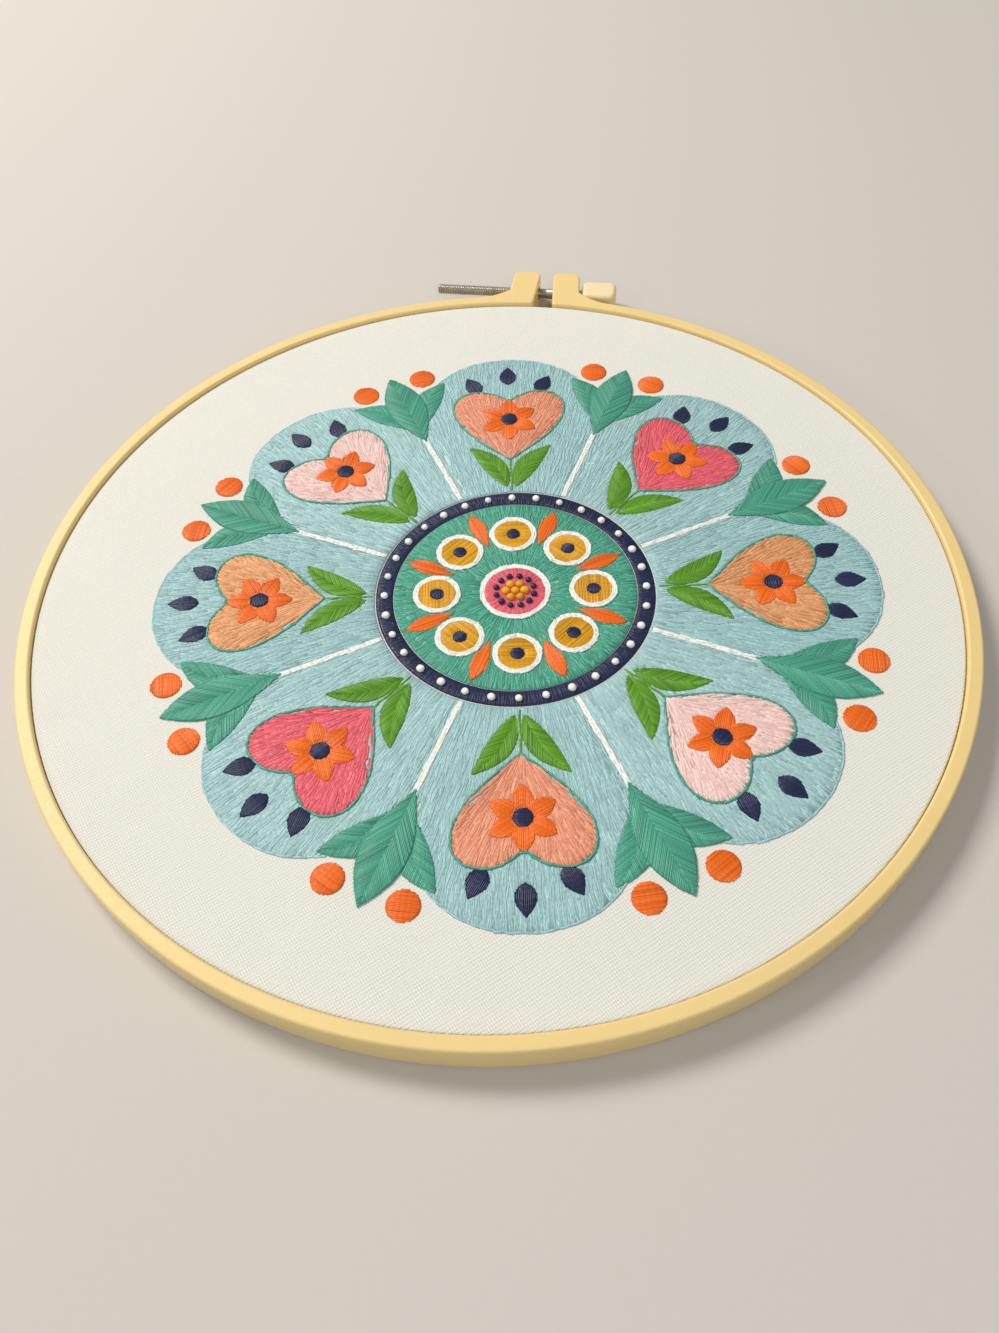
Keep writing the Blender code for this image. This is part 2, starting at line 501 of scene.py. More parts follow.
def drilled(piece: bpy.types.Object, center: Vector, radius: float, length: float) -> None:
    """Drill a round hole along X through a piece.

    Args:
        piece: The piece, whose mesh is changed.
        center: Middle of the hole.
        radius: Its radius.
        length: Its length.
    """
    bm = bmesh.new()
    place = Matrix.Translation(center) @ Matrix.Rotation(math.pi / 2, 4, "Y")
    bmesh.ops.create_cone(bm, cap_ends=True, segments=48, radius1=radius, radius2=radius, depth=length,
                          matrix=place)
    drill_mesh = bpy.data.meshes.new("drill")
    bm.to_mesh(drill_mesh)
    bm.free()
    drill = bpy.data.objects.new("drill", drill_mesh)
    bpy.context.scene.collection.objects.link(drill)
    modifier = piece.modifiers.new("drill", "BOOLEAN")
    modifier.operation = "DIFFERENCE"
    modifier.solver = "EXACT"
    modifier.object = drill
    bpy.context.view_layer.update()
    evaluated = piece.evaluated_get(bpy.context.evaluated_depsgraph_get())
    piece.data = bpy.data.meshes.new_from_object(evaluated)
    piece.modifiers.clear()
    bpy.data.objects.remove(drill)


def hand_over(piece: bpy.types.Object, body: str, slot: str, *replaced: str) -> bpy.types.Object:
    """Hang a piece under the empty of the body that it rides on, and hide the CAD nodes that it takes the
    place of.

    Args:
        piece: The finished piece.
        body: The CAD body that it moves with.
        slot: The record's material slot; not used.
        replaced: CAD nodes that it takes the place of.

    Returns:
        The same piece.
    """
    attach(piece, body)
    if replaced:
        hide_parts(*replaced)
    LOG.info("%s: %d faces on %s", piece.name, len(piece.data.polygons), body)
    return piece


# --------------------------------------------------------------------------- hoop


@dataclass(frozen=True)
class HoopPlan:
    """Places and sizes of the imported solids, which every piece is built to."""

    center: Vector
    outer_r: float
    ring_top: float
    lug_tip: float
    inner_ring_r: float
    inner_ring_top: float
    cloth_r: float
    cloth_top: float
    cloth_bottom: float
    screw_axis: Vector
    screw_r: float
    screw_left: float
    screw_right: float
    knob_left: float
    knob_size: Vector

    @classmethod
    def from_frame(cls) -> HoopPlan:
        """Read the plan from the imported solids' boxes."""
        ring_low, ring_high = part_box("outer_ring")
        inner_low, inner_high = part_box("inner_ring")
        cloth_low, cloth_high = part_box("cloth")
        screw_low, screw_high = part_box("screw")
        knob_low, knob_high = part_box("knob")
        center = Vector((0.0, (inner_low.y + inner_high.y) / 2, 0.0))
        middle = (screw_low + screw_high) / 2
        return cls(
            center=center,
            outer_r=center.y - ring_low.y,
            ring_top=ring_high.z,
            lug_tip=ring_high.y - center.y,
            inner_ring_r=(inner_high.y - inner_low.y) / 2,
            inner_ring_top=inner_high.z,
            cloth_r=(cloth_high.y - cloth_low.y) / 2,
            cloth_top=cloth_high.z,
            cloth_bottom=cloth_low.z,
            screw_axis=Vector((0.0, middle.y, middle.z)),
            screw_r=(screw_high.z - screw_low.z) / 2,
            screw_left=screw_low.x,
            screw_right=screw_high.x,
            knob_left=knob_low.x,
            knob_size=knob_high - knob_low,
        )


@dataclass
class OuterRing:
    """Split outer ring with two clamp lugs, moulded in one piece."""

    plan: HoopPlan
    wall: float = 3.2 * MM
    edge_round: float = 0.6 * MM
    lug_side: float = 9.8 * MM
    lug_tip_side: float = 9.3 * MM
    lug_corner: float = 2.2 * MM
    split_tip: float = 1.8 * MM
    split_foot: float = 2.6 * MM
    foot_corner: float = 1.1 * MM
    flare_height: float = 3.3 * MM
    flare_end: float = 17.0 * MM
    flare_sag: float = 0.55 * MM
    hole_clearance: float = 0.3 * MM
    ring_steps: int = 360

    def flare(self, start: Sequence[float]) -> list[tuple[float, float]]:
        """Hollow line from the ring up to the lug's side.

        Args:
            start: Where it leaves the ring.

        Returns:
            Its points, without the start.
        """
        foot_y = math.sqrt(self.plan.outer_r**2 - self.lug_side**2)
        top = Vector((self.lug_side, foot_y + self.flare_height))
        way = top - Vector(start)
        side = Vector((-way.y, way.x)).normalized()
        points = []
        for t in np.linspace(0.0, 1.0, 11)[1:]:
            point = Vector(start) + way * t + side * (4.0 * self.flare_sag * t * (1.0 - t))
            points.append((point.x, point.y))
        return points

    def outline(self) -> list[tuple[float, float]]:
        """Outline of the split ring with its lugs, counter-clockwise, about the hoop's centre."""
        flare_start = math.degrees(math.acos(self.flare_end / self.plan.outer_r))
        inner_r = self.plan.outer_r - self.wall
        foot = math.degrees(math.acos(self.split_foot / inner_r))
        tip_y = self.plan.lug_tip - self.lug_corner
        right = arc((0, 0), self.plan.outer_r, -90.0, flare_start, self.ring_steps // 2)
        right += self.flare(right[-1])
        right += arc((self.lug_tip_side - self.lug_corner, tip_y), self.lug_corner, 0, 90, 8)
        right += arc((self.split_tip + self.lug_corner, tip_y), self.lug_corner, 90, 180, 8)
        right += arc((0, 0), inner_r, foot, -90.0, self.ring_steps // 2)
        return right + [(-x, y) for x, y in reversed(right[1:-1])]

    def build(self, material: bpy.types.Material) -> bpy.types.Object:
        """Fill the outline, raise it, and round and drill it.

        Args:
            material: The ring's finish.

        Returns:
            The finished piece.
        """
        bm = bmesh.new()
        edges = chain(bm, [(x, y, 0.0) for x, y in self.outline()])
        bm.verts.ensure_lookup_table()
        edges.append(bm.edges.new((bm.verts[-1], bm.verts[0])))
        bmesh.ops.contextual_create(bm, geom=edges)
        raised = bmesh.ops.extrude_face_region(bm, geom=bm.faces[:])["geom"]
        top = [item for item in raised if isinstance(item, bmesh.types.BMVert)]
        bmesh.ops.translate(bm, verts=top, vec=(0.0, 0.0, self.plan.ring_top))
        bmesh.ops.recalc_face_normals(bm, faces=bm.faces)
        self.round_edges(bm)
        bmesh.ops.translate(bm, verts=bm.verts, vec=self.plan.center)
        ring = make_piece("outer_ring_moulding", bm, material)
        drilled(ring, self.plan.screw_axis, self.plan.screw_r + self.hole_clearance, 2.4 * self.lug_side)
        even_normals(ring)
        return hand_over(ring, ROOT_BODY, "ring_plastic", "outer_ring")

    def round_edges(self, bm: bmesh.types.BMesh) -> None:
        """Round the feet of the split, then every rim.

        Args:
            bm: The raised wall, centred on the hoop.
        """
        inner_r = self.plan.outer_r - self.wall
        feet = [
            edge for edge in bm.edges
            if abs(edge.verts[0].co.z - edge.verts[1].co.z) > self.plan.ring_top / 2
            and abs(abs(edge.verts[0].co.x) - self.split_foot) < 0.01 * MM
            and abs(edge.verts[0].co.xy.length - inner_r) < 0.01 * MM
            and edge.verts[0].co.y > 0.0
        ]
        bmesh.ops.bevel(bm, geom=feet, offset=self.foot_corner, segments=4, profile=0.5, affect="EDGES",
                        material=-1)
        rims = [
            edge for edge in bm.edges
            if len(edge.link_faces) == 2
            and abs(edge.verts[0].co.z - edge.verts[1].co.z) < 1e-6
            and edge.calc_face_angle() > math.radians(60)
        ]
        bmesh.ops.bevel(bm, geom=rims, offset=self.edge_round, segments=4, profile=0.5, affect="EDGES",
                        material=-1)


@dataclass
class InnerRing:
    """Closed ring under the cloth, seen only from behind.

    Attributes:
        lift: How much higher it stands than its solid, because the finished cloth is thinner.
    """

    plan: HoopPlan
    wall: float = 3.2 * MM
    edge_round: float = 0.6 * MM
    lift: float = 0.35 * MM
    steps: int = 360

    def build(self, material: bpy.types.Material) -> bpy.types.Object:
        """Turn the ring's rounded section about the hoop's axis.

        Args:
            material: The ring's finish.

        Returns:
            The finished piece.
        """
        outer, inner = self.plan.inner_ring_r, self.plan.inner_ring_r - self.wall
        top, rounding = self.plan.inner_ring_top + self.lift, self.edge_round
        profile = arc((outer - rounding, rounding), rounding, -90, 0, 4)
        profile += arc((outer - rounding, top - rounding), rounding, 0, 90, 4)
        profile += arc((inner + rounding, top - rounding), rounding, 90, 180, 4)
        profile += arc((inner + rounding, rounding), rounding, 180, 270, 4)
        bm = turned(profile, self.steps, loop=True)
        bmesh.ops.translate(bm, verts=bm.verts, vec=self.plan.center)
        ring = make_piece("inner_ring_moulding", bm, material)
        even_normals(ring)
        return hand_over(ring, ROOT_BODY, "ring_plastic", "inner_ring")


@dataclass
class ThumbScrew:
    """Threaded steel rod and its flat moulded knob."""

    plan: HoopPlan
    pitch: float = 0.5 * MM
    thread_depth: float = 0.28 * MM
    thread_end: float = 1.0 * MM
    facets: int = 20
    knob_corner: float = 2.0 * MM
    knob_edge: float = 1.2 * MM
    shank_edge: float = 0.3 * MM

    def build_rod(self, material: bpy.types.Material) -> bpy.types.Object:
        """Wind the thread along X, close its ends and add the plain shank.

        Args:
            material: The rod's finish.

        Returns:
            The finished piece.
        """
        plan, pitch = self.plan, self.pitch
        crest, root = plan.screw_r, plan.screw_r - self.thread_depth
        turns = int((self.thread_end - plan.screw_left) / pitch) - 1
        start = plan.screw_left
        bm = bmesh.new()
        edges = chain(bm, [
            (start, 0.0, root), (start + 0.42 * pitch, 0.0, crest),
            (start + 0.58 * pitch, 0.0, crest), (start + pitch, 0.0, root),
        ])
        bmesh.ops.spin(bm, geom=bm.verts[:] + edges, cent=(0, 0, 0), axis=(1, 0, 0), angle=math.tau * turns,
                       steps=turns * self.facets, dvec=(pitch / self.facets, 0, 0))
        bmesh.ops.remove_doubles(bm, verts=bm.verts, dist=0.002 * MM)
        bmesh.ops.holes_fill(bm, edges=[edge for edge in bm.edges if edge.is_boundary])
        shank_start = start + turns * pitch
        length = plan.screw_right - shank_start
        place = Matrix.Translation((shank_start + length / 2, 0, 0)) @ Matrix.Rotation(math.pi / 2, 4, "Y")
        shank = bmesh.ops.create_cone(bm, cap_ends=True, segments=32, radius1=crest, radius2=crest,
                                      depth=length, matrix=place)
        rims = {
            edge for vert in shank["verts"] for edge in vert.link_edges
            if abs(edge.verts[0].co.x - edge.verts[1].co.x) < 1e-6
        }
        bmesh.ops.bevel(bm, geom=list(rims), offset=self.shank_edge, segments=2, profile=0.5, affect="EDGES",
                        material=-1)
        bmesh.ops.translate(bm, verts=bm.verts, vec=plan.screw_axis)
        rod = make_piece("screw_rod", bm, material, sharp=50.0)
        return hand_over(rod, SCREW_BODY, "screw_steel", "screw")

    def build_knob(self, material: bpy.types.Material) -> bpy.types.Object:
        """Round a block into the knob.

        Args:
            material: The knob's finish.

        Returns:
            The finished piece.
        """
        plan = self.plan
        bm = bmesh.new()
        bmesh.ops.create_cube(bm, size=1.0)
        bmesh.ops.scale(bm, verts=bm.verts, vec=plan.knob_size)
        corners = [edge for edge in bm.edges if abs(edge.verts[0].co.z - edge.verts[1].co.z) > 1e-6]
        bmesh.ops.bevel(bm, geom=corners, offset=self.knob_corner, segments=8, profile=0.5, affect="EDGES",
                        material=-1)
        rims = [edge for edge in bm.edges if abs(edge.verts[0].co.z - edge.verts[1].co.z) < 1e-6]
        bmesh.ops.bevel(bm, geom=rims, offset=self.knob_edge, segments=6, profile=0.5, affect="EDGES",
                        material=-1)
        middle = plan.screw_axis + Vector((plan.knob_left + plan.knob_size.x / 2, 0.0, 0.0))
        bmesh.ops.translate(bm, verts=bm.verts, vec=middle)
        knob = make_piece("knob_moulding", bm, material)
        even_normals(knob)
        return hand_over(knob, SCREW_BODY, "knob_plastic", "knob")


@dataclass
class StretchedCloth:
    """One piece of cotton, drawn flat over the inner ring and down between the rings.

    Attributes:
        fold_r: Radius of the fold over the inner ring.
        press: How far its rim is squeezed outwards, to the outer ring.
        edge_waver: How uneven the cut edge is.
        slack: Depth of the slow waves in the flat face.
        rim_pull: Depth of the short pulls beside the rim.
    """

    plan: HoopPlan
    thickness: float = 0.7 * MM
    fold_r: float = 0.5 * MM
    press: float = 0.2 * MM
    facets: int = 300
    row_step: float = 2.0 * MM
    edge_waver: float = 0.15 * MM
    slack: float = 0.10 * MM
    rim_pull: float = 0.07 * MM
    seed: int = 11

    @property
    def edge_r(self) -> float:
        """Radius of the turned-down rim, pressed against the outer ring."""
        return self.plan.cloth_r + self.press

    @property
    def fold_foot(self) -> float:
        """Radius at which the flat face starts to turn down."""
        return self.edge_r - self.fold_r

    @property
    def flat_radius(self) -> float:
        """Radius of the round that the cloth was cut to."""
        drop = self.plan.cloth_top - self.fold_r - self.plan.cloth_bottom
        return self.fold_foot + self.fold_r * math.pi / 2 + drop

    def height_at(self, x: np.ndarray, y: np.ndarray) -> np.ndarray:
        """How far the drawn cloth stands below its highest level.

        Args:
            x: Places from the hoop's centre.
            y: Places from the hoop's centre.

        Returns:
            Heights, zero or below.
        """
        reach = np.hypot(x, y) / self.fold_foot
        bearing = np.arctan2(y, x)
        broad = np.sin(x * 69.0 + y * 38.0 + 0.4) + np.sin(y * 82.0 - x * 44.0 + 1.9)
        pulls = np.sin(bearing * 38.0 + 2.0 * np.sin(bearing * 3.0))
        pulls = pulls * np.clip((reach - 0.78) / 0.2, 0.0, 1.0)
        still = np.clip((1.0 - reach) / 0.04, 0.0, 1.0)
        wave = self.slack * 0.25 * (broad - 2.0) + self.rim_pull * 0.5 * (pulls - 1.0)
        return wave * still

    def build(self, material: bpy.types.Material) -> bpy.types.Object:
        """Turn the sheet's section, give it its slack and its flat cut, and thicken it.

        Args:
            material: The cloth's finish.

        Returns:
            The finished piece.
        """
        plan = self.plan
        rows = int(self.fold_foot / self.row_step)
        fold_z = plan.cloth_top - self.fold_r
        profile = [(r, plan.cloth_top) for r in np.linspace(0.0, self.fold_foot, rows + 1)]
        profile += arc((self.fold_foot, fold_z), self.fold_r, 90, 0, 5)[1:]
        profile += [(self.edge_r, z) for z in np.linspace(fold_z, plan.cloth_bottom, 4)[1:]]
        bm = turned(profile, self.facets, loop=False)
        rng = np.random.default_rng(self.seed)
        waver = rng.uniform(0.0, self.edge_waver, self.facets)
        flat_cut = bm.loops.layers.uv.new("flat_cut")
        unrolled = {}
        for vert in bm.verts:
            reach = vert.co.xy.length
            bearing = math.atan2(vert.co.y, vert.co.x)
            angle = math.acos(min(1.0, max(0.0, (reach - self.fold_foot) / self.fold_r)))
            folded = self.fold_r * (math.pi / 2 - angle)
            drop = max(0.0, fold_z - vert.co.z)
            length = min(reach, self.fold_foot) + folded + drop
            unrolled[vert] = (length * math.cos(bearing), length * math.sin(bearing))
            if vert.co.z > plan.cloth_top - 1e-6:
                vert.co.z += float(self.height_at(np.array(vert.co.x), np.array(vert.co.y)))
            elif vert.co.z < plan.cloth_bottom + 1e-6:
                vert.co.z += waver[int(bearing / math.tau * self.facets) % self.facets]
        for face in bm.faces:
            for loop in face.loops:
                loop[flat_cut].uv = unrolled[loop.vert]
        bmesh.ops.translate(bm, verts=bm.verts, vec=plan.center)
        cloth = make_piece("stretched_cloth", bm, material, sharp=80.0)
        solid = cloth.modifiers.new("thickness", "SOLIDIFY")
        solid.thickness = self.thickness
        solid.offset = -1.0
        hand_over(cloth, ROOT_BODY, "cloth_cotton", "cloth")
        return cloth


# --------------------------------------------------------------------------- embroidery


class Floss(Enum):
    """Floss colours of the rosette, each with its finish."""

    SKY = CottonFloss("sky", srgb(160, 200, 203), 0.24)
    MIST = CottonFloss("mist", srgb(166, 204, 206), 0.24)
    TEAL = CottonFloss("teal", srgb(74, 160, 136), 0.34)
    ORANGE = CottonFloss("orange", srgb(255, 110, 10), 0.28)
    NAVY = CottonFloss("navy", srgb(20, 32, 74), 0.40)
    MUSTARD = CottonFloss("mustard", srgb(220, 160, 10), 0.32)
    WHITE = CottonFloss("white", srgb(246, 246, 240), 0.10)
    CORAL = CottonFloss("coral", srgb(238, 98, 114), 0.30)
    SALMON = CottonFloss("salmon", srgb(244, 156, 124), 0.32)
    BLUSH = CottonFloss("blush", srgb(246, 206, 200), 0.20)
    PEACH = CottonFloss("peach", srgb(230, 162, 110), 0.34)
    LEAF = CottonFloss("leaf", srgb(90, 152, 24), 0.36)


class Style(Enum):
    """How a hatched shape is filled."""

    LENGTHWISE = "stitches along the axis"
    SATIN = "stitches straight across"
    FISHBONE = "slanted stitches to both sides of a vein"


class Patch:
    """A stitched area, read by s from its foot (0) to its tip (1) and by t across it (-1 to 1)."""

    def at(self, s: np.ndarray, t: np.ndarray) -> np.ndarray:
        """Places on the patch, in millimetres along and across its axis."""
        raise NotImplementedError

    def outline(self, count: int = 36) -> np.ndarray:
        """Corners around the patch.

        Args:
            count: Corners on each side.

        Returns:
            An array of points.
        """
        way = np.linspace(0.0, 1.0, count)
        side = 2.0 * way - 1.0
        right = self.at(way, np.full(count, -1.0))
        tip = self.at(np.ones(count), side)[1:-1]
        left = self.at(way[::-1], np.full(count, 1.0))
        foot = self.at(np.zeros(count), side[::-1])[1:-1]
        return np.vstack((right, tip, left, foot))


@dataclass(frozen=True)
class Leaf(Patch):
    """Leaf or drop: a lens along its axis, which may bend to one side; filled by hatching."""

    reach: float
    half: float
    style: Style
    lean: float = 1.0
    fullness: float = 0.9
    bend: float = 0.0

    def at(self, s: np.ndarray, t: np.ndarray) -> np.ndarray:
        """Places on the lens."""
        half = self.half * np.sin(np.pi * np.clip(s, 0.0, 1.0) ** self.lean) ** self.fullness
        across = t * half + 4.0 * self.bend * s * (1.0 - s)
        return np.stack((s * self.reach, across), axis=-1)


@dataclass(frozen=True)
class Round(Patch):
    """Disc that starts at its foot; filled by hatching."""

    radius: float
    style: Style = Style.SATIN

    def at(self, s: np.ndarray, t: np.ndarray) -> np.ndarray:
        """Places on the disc."""
        half = self.radius * np.sqrt(np.clip(1.0 - (2.0 * s - 1.0) ** 2, 0.0, 1.0))
        return np.stack((s * 2.0 * self.radius, t * half), axis=-1)


@dataclass(frozen=True)
class Fan(Patch):
    """Area between a foot circle and a rim, on rays from one point; filled long and short.

    Attributes:
        foot: Radius of the foot circle.
        rim_r: Farthest reach of the rim.
        spread: Half of the fan's angle, in degrees.
        stitch: Length of a stitch.
    """

    foot: float
    rim_r: float
    spread: float
    stitch: float

    def rim(self, t: np.ndarray) -> np.ndarray:
        """Radius of the rim at t."""
        return np.full(np.shape(t), self.rim_r)

    def ray(self, radius: np.ndarray, t: np.ndarray) -> np.ndarray:
        """Places at a radius on the rays at t."""
        angle = t * math.radians(self.spread)
        return np.stack((radius * np.cos(angle), radius * np.sin(angle)), axis=-1)

    def at(self, s: np.ndarray, t: np.ndarray) -> np.ndarray:
        """Places between the foot and the rim."""
        return self.ray(self.foot + s * (self.rim(t) - self.foot), t)


@dataclass(frozen=True)
class Petal(Fan):
    """Fan with a round end."""

    shoulder: float = 50.0

    def rim(self, t: np.ndarray) -> np.ndarray:
        """Radius of the round end at t."""
        drop = np.sqrt(np.clip(1.0 - np.abs(t) ** 2.2, 0.0, 1.0))
        return self.shoulder + (self.rim_r - self.shoulder) * drop


@dataclass(frozen=True)
class Heart(Fan):
    """Fan from a point, with two lobes."""

    def rim(self, t: np.ndarray) -> np.ndarray:
        """Radius of the lobes at t."""
        side = np.clip(np.abs(t), 0.0, 1.0)
        return self.rim_r * (0.80 + 0.24 * np.sin(np.pi * side) ** 0.8) * np.sqrt(1.0 - side**6)


@dataclass(frozen=True)
class Place:
    """Where a motif's foot stands, and which way its axis points.

    Attributes:
        bearing: Direction from the rosette's middle, in degrees.
        along: Distance of the foot in that direction, in millimetres.
        aside: Distance of the foot to the left of it, in millimetres.
        turn: Angle from the bearing to the motif's axis, in degrees.
    """

    bearing: float = 0.0
    along: float = 0.0
    aside: float = 0.0
    turn: float = 0.0

    def on_rosette(self, points: np.ndarray) -> np.ndarray:
        """Move a motif's own points to the rosette.

        Args:
            points: Points along and across the motif's axis.

        Returns:
            The same points about the rosette's middle.
        """
        foot = turned_by(np.array((self.along, self.aside)), self.bearing)
        return turned_by(points, self.bearing + self.turn) + foot


def turned_by(points: np.ndarray, degrees: float) -> np.ndarray:
    """Points turned about the origin.

    Args:
        points: An array of points.
        degrees: The turn, to the left.

    Returns:
        The turned points.
    """
    angle = math.radians(degrees)
    rotation = np.array(((math.cos(angle), -math.sin(angle)), (math.sin(angle), math.cos(angle))))
    return points @ rotation.T


@dataclass(frozen=True)
class Motif:
    """One filled shape of the rosette.

    Attributes:
        patch: Its shape.
        place: Where it stands.
        floss: Its colour.
        layer: How many layers of thread lie under it.
        edging: Colour of the stem-stitch line around it, if it has one.
    """

    patch: Patch
    place: Place
    floss: Floss
    layer: int = 0
    edging: Floss | None = None


@dataclass(frozen=True)
class Line:
    """Stem-stitch rows, side by side, through points about the rosette's middle."""

    points: tuple[tuple[float, float], ...]
    floss: Floss
    layer: int
    rows: int = 1


@dataclass(frozen=True)
class Knots:
    """French knots of one colour, at points about the rosette's middle."""

    points: tuple[tuple[float, float], ...]
    floss: Floss
    radius: float
    layer: int


@dataclass
class Rosette:
    """Eightfold folk rosette: arched petals with hearts, sprigs between them, and a beaded middle.

    All its sizes are in millimetres from its own middle.
    """

    petals: int = 8
    medallion: float = 31.0
    band: float = 3.8
    shoulder: float = 50.0
    tip: float = 80.5
    heart_foot: float = 42.5
    heart_reach: float = 26.0
    bead: float = 4.9
    bead_ring: float = 17.4
    core: float = 7.4

    def bearings(self, shift: float = 0.0) -> list[float]:
        """Bearings of the petals, or of what stands between them.

        Args:
            shift: Share of a petal's turn to add.

        Returns:
            Angles in degrees.
        """
        turn = 360.0 / self.petals
        return [turn * (number + shift) for number in range(self.petals)]

    def motifs(self) -> list[Motif]:
        """Every filled shape, from the lowest layer up."""
        return [*self.petal_ground(), *self.hearts(), *self.petal_trim(), *self.sprigs(), *self.middle()]

    def petal_ground(self) -> list[Motif]:
        """The broad petals, in two sky blues in turn."""
        petal = Petal(self.medallion + 0.3, self.tip, 180.0 / self.petals - 0.2, 4.1, self.shoulder)
        blues = (Floss.SKY, Floss.MIST)
        return [
            Motif(petal, Place(bearing), blues[number % 2], edging=blues[number % 2])
            for number, bearing in enumerate(self.bearings())
        ]

    def hearts(self) -> list[Motif]:
        """A heart in each petal, in four tints in turn, each with a small flower."""
        tints = (Floss.PEACH, Floss.CORAL, Floss.SALMON, Floss.BLUSH)
        found = []
        for number, bearing in enumerate(self.bearings()):
            heart = Heart(0.0, self.heart_reach, 50.0, 3.9)
            place = Place(bearing, self.heart_foot)
            found.append(Motif(heart, place, tints[number % len(tints)], 1, edging=Floss.TEAL))
            found += self.flower(bearing)
        return found

    def flower(self, bearing: float) -> list[Motif]:
        """Six orange leaves around a navy eye, on a heart.

        Args:
            bearing: The heart's bearing, in degrees.

        Returns:
            The flower's motifs.
        """
        middle = self.heart_foot + 0.56 * self.heart_reach
        leaf = Leaf(6.2, 2.1, Style.LENGTHWISE, lean=0.8, fullness=0.7)
        found = []
        for turn in np.arange(0.0, 360.0, 60.0):
            foot = turned_by(np.array((1.2, 0.0)), turn)
            found.append(Motif(leaf, Place(bearing, middle + foot[0], foot[1], turn), Floss.ORANGE, 2))
        found.append(Motif(Round(2.0), Place(bearing, middle - 2.0), Floss.NAVY, 3))
        return found

    def petal_trim(self) -> list[Motif]:
        """Navy drops in the petals' ends and green leaves at their feet."""
        found = []
        for bearing in self.bearings():
            drop = Leaf(7.0, 2.1, Style.LENGTHWISE, 0.8)
            found.append(Motif(drop, Place(bearing, 70.6), Floss.NAVY, 1))
            for side in (-1, 1):
                found.append(Motif(drop, Place(bearing, 67.4, side * 7.4, side * 28.0), Floss.NAVY, 1))
                leaf = Leaf(16.5, 2.7, Style.FISHBONE, 0.9, 0.85, -1.4 * side)
                found.append(Motif(leaf, Place(bearing, 33.2, side * 0.9, side * 33.0), Floss.LEAF, 1))
        return found

    def sprigs(self) -> list[Motif]:
        """Between the petals' ends, three teal leaves with orange berries."""
        found = []
        for bearing in self.bearings(0.5):
            for side in (-1, 1):
                leaf = Leaf(18.5, 3.5, Style.FISHBONE, 1.15, 0.85, -2.2 * side)
                found.append(Motif(leaf, Place(bearing, 58.5, side * 0.8, side * 38.0), Floss.TEAL, 1))
                berry = Place(bearing, 74.2, side * 6.9, side * 15.0)
                found.append(Motif(Round(3.3), berry, Floss.ORANGE, 0))
            found.append(Motif(Leaf(26.5, 4.9, Style.FISHBONE, 1.2), Place(bearing, 54.0), Floss.TEAL, 2))
        return found

    def middle(self) -> list[Motif]:
        """Navy band, teal ground, mustard beads, orange darts and a coral core."""
        whole = Place()
        inner = self.medallion - self.band
        found = [
            Motif(Fan(inner, self.medallion, 180.0, 2.0 * self.band), whole, Floss.NAVY),
            Motif(Fan(self.core, inner - 0.2, 180.0, 4.0), whole, Floss.TEAL),
        ]
        for bearing in self.bearings():
            bead = Place(bearing, self.bead_ring - self.bead)
            found.append(Motif(Round(self.bead), bead, Floss.MUSTARD, 1, edging=Floss.WHITE))
            eye = Place(bearing, self.bead_ring - 1.5)
            found.append(Motif(Round(1.5), eye, Floss.NAVY, 2))
        for bearing in self.bearings(0.5):
            dart = Leaf(11.5, 1.8, Style.LENGTHWISE, 1.25)
            found.append(Motif(dart, Place(bearing, 14.6), Floss.ORANGE, 1))
        core = Fan(0.0, self.core, 180.0, 9.0)
        found.append(Motif(core, whole, Floss.CORAL, 1, edging=Floss.WHITE))
        return found

    def lines(self) -> list[Line]:
        """White seams between the petals, and green stems up to the hearts."""
        found = []
        for bearing in self.bearings(0.5):
            ends = turned_by(np.array(((self.medallion + 0.6, 0.0), (self.shoulder + 5.5, 0.0))), bearing)
            found.append(Line(tuple(map(tuple, ends)), Floss.WHITE, 1, 3))
        for bearing in self.bearings():
            ends = turned_by(np.array(((self.medallion + 0.8, 0.0), (self.heart_foot, 0.0))), bearing)
            found.append(Line(tuple(map(tuple, ends)), Floss.LEAF, 1))
        return found

    def knots(self) -> list[Knots]:
        """White knots on the navy band, and a mustard cluster in the core."""
        band_r = self.medallion - self.band / 2
        ring = tuple(arc((0.0, 0.0), band_r, 0.0, 360.0 - 360.0 / 32, 31))
        inner = arc((0.0, 0.0), 2.1, 0.0, 300.0, 5)
        outer = arc((0.0, 0.0), 4.3, 15.0, 345.0, 11)
        cluster = ((0.0, 0.0), *inner)
        return [
            Knots(ring, Floss.WHITE, 0.85, 1),
            Knots(cluster, Floss.MUSTARD, 0.95, 2),
            Knots(tuple(outer), Floss.NAVY, 0.75, 2),
        ]


def inside(points: np.ndarray, polygon: np.ndarray) -> np.ndarray:
    """Which points lie in a polygon.

    Args:
        points: An array of points.
        polygon: The polygon's corners in order.

    Returns:
        A true or false for each point.
    """
    found = np.zeros(len(points), bool)
    x, y = points[:, 0], points[:, 1]
    for (ax, ay), (bx, by) in zip(polygon, np.roll(polygon, -1, axis=0)):
        if ay == by:
            continue
        crosses = (ay > y) != (by > y)
        found ^= crosses & (x < (bx - ax) * (y - ay) / (by - ay) + ax)
    return found


